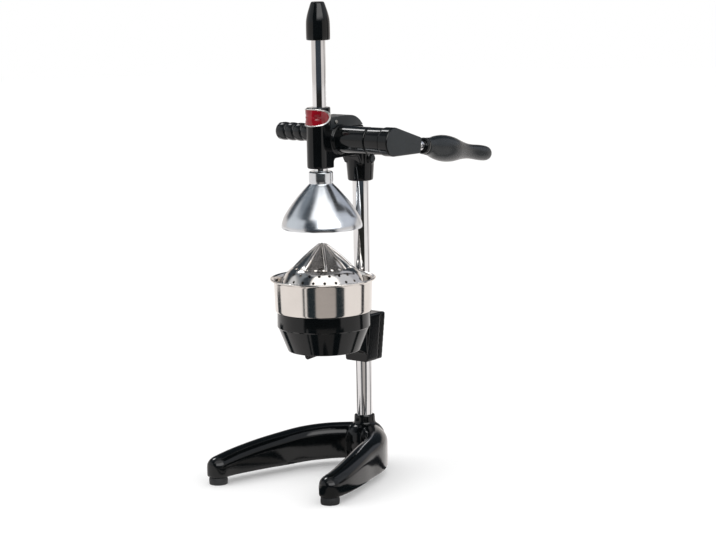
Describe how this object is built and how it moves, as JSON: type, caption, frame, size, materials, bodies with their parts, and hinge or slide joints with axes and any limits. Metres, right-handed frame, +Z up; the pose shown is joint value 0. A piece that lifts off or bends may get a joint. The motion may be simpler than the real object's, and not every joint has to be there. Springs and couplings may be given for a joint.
{
  "type": "lever citrus press",
  "caption": "Hand lever citrus press: two-legged cast base, chromed column, juice bowl, basin and ribbed strainer under a bell driven down by rack and pinion.",
  "frame": {"origin": "on the table, on the axis of the column, at the centre of the rear foot's lower face", "axes": "+Z up along the column, -Y to the front where the glass stands, +X to the side that carries the lever"},
  "size_m": [0.1941, 0.3259, 0.551],
  "materials": {
    "gloss_black_paint": "gloss",
    "satin_black_paint": "satin",
    "black_grip": "satin",
    "black_rubber": "matte",
    "chromed_steel": "mirror polish",
    "plain_steel": "machined",
    "stainless_sheet": "polished",
    "polished_aluminium": "polished",
    "bearing_bronze": "machined",
    "badge_red": "gloss"
  },
  "bodies": {
    "frame": {"base": "gloss_black_paint", "front_right_foot": "black_rubber", "front_right_foot_screw": "plain_steel", "front_left_foot": "black_rubber", "front_left_foot_screw": "plain_steel", "rear_foot": "black_rubber", "column_bolt": "plain_steel", "column_washer": "plain_steel", "column_plug": "plain_steel", "column_tube": "chromed_steel", "juice_bowl": "gloss_black_paint", "clamp_plate": "gloss_black_paint", "clamp_screw_1": "plain_steel", "clamp_screw_2": "plain_steel", "clamp_screw_3": "plain_steel", "clamp_screw_4": "plain_steel", "head_casting": "gloss_black_paint", "head_set_screw": "satin_black_paint", "gear_cover": "satin_black_paint", "basin": "stainless_sheet", "strainer": "stainless_sheet", "cover_screw_1": "plain_steel", "cover_screw_2": "plain_steel", "badge": "badge_red", "shaft_bush_left": "bearing_bronze", "shaft_bush_inner": "bearing_bronze", "shaft_bush_outer": "bearing_bronze", "side_grip_stud": "plain_steel", "side_grip_locknut": "plain_steel", "side_grip": "black_rubber"},
    "lever": {"pinion": "plain_steel", "pinion_shaft": "plain_steel", "pinion_key": "plain_steel", "lever_arm": "satin_black_paint", "hub_set_screw": "plain_steel", "lever_stem": "plain_steel", "neck_nut": "chromed_steel", "grip_collar": "gloss_black_paint", "lever_grip": "black_grip"},
    "plunger": {"plunger_rod": "chromed_steel", "rod_cap": "gloss_black_paint", "press_bell": "polished_aluminium", "bell_washer": "plain_steel", "bell_screw": "plain_steel"}
  },
  "joints": [
    {"name": "lever_turn", "type": "hinge", "parent": "frame", "child": "lever", "pos_m": [0, -0.0526, 0.3936], "axis": [1, 0, 0], "range_deg": [-10, 186]},
    {"name": "plunger_slide", "type": "slide", "parent": "frame", "child": "plunger", "axis": [0, 0, -1], "range_m": [-0.0028, 0.052]}
  ],
  "couplings": [
    {"joint": "plunger_slide", "follows": "lever_turn", "m_per_rad": 0.016}
  ]
}
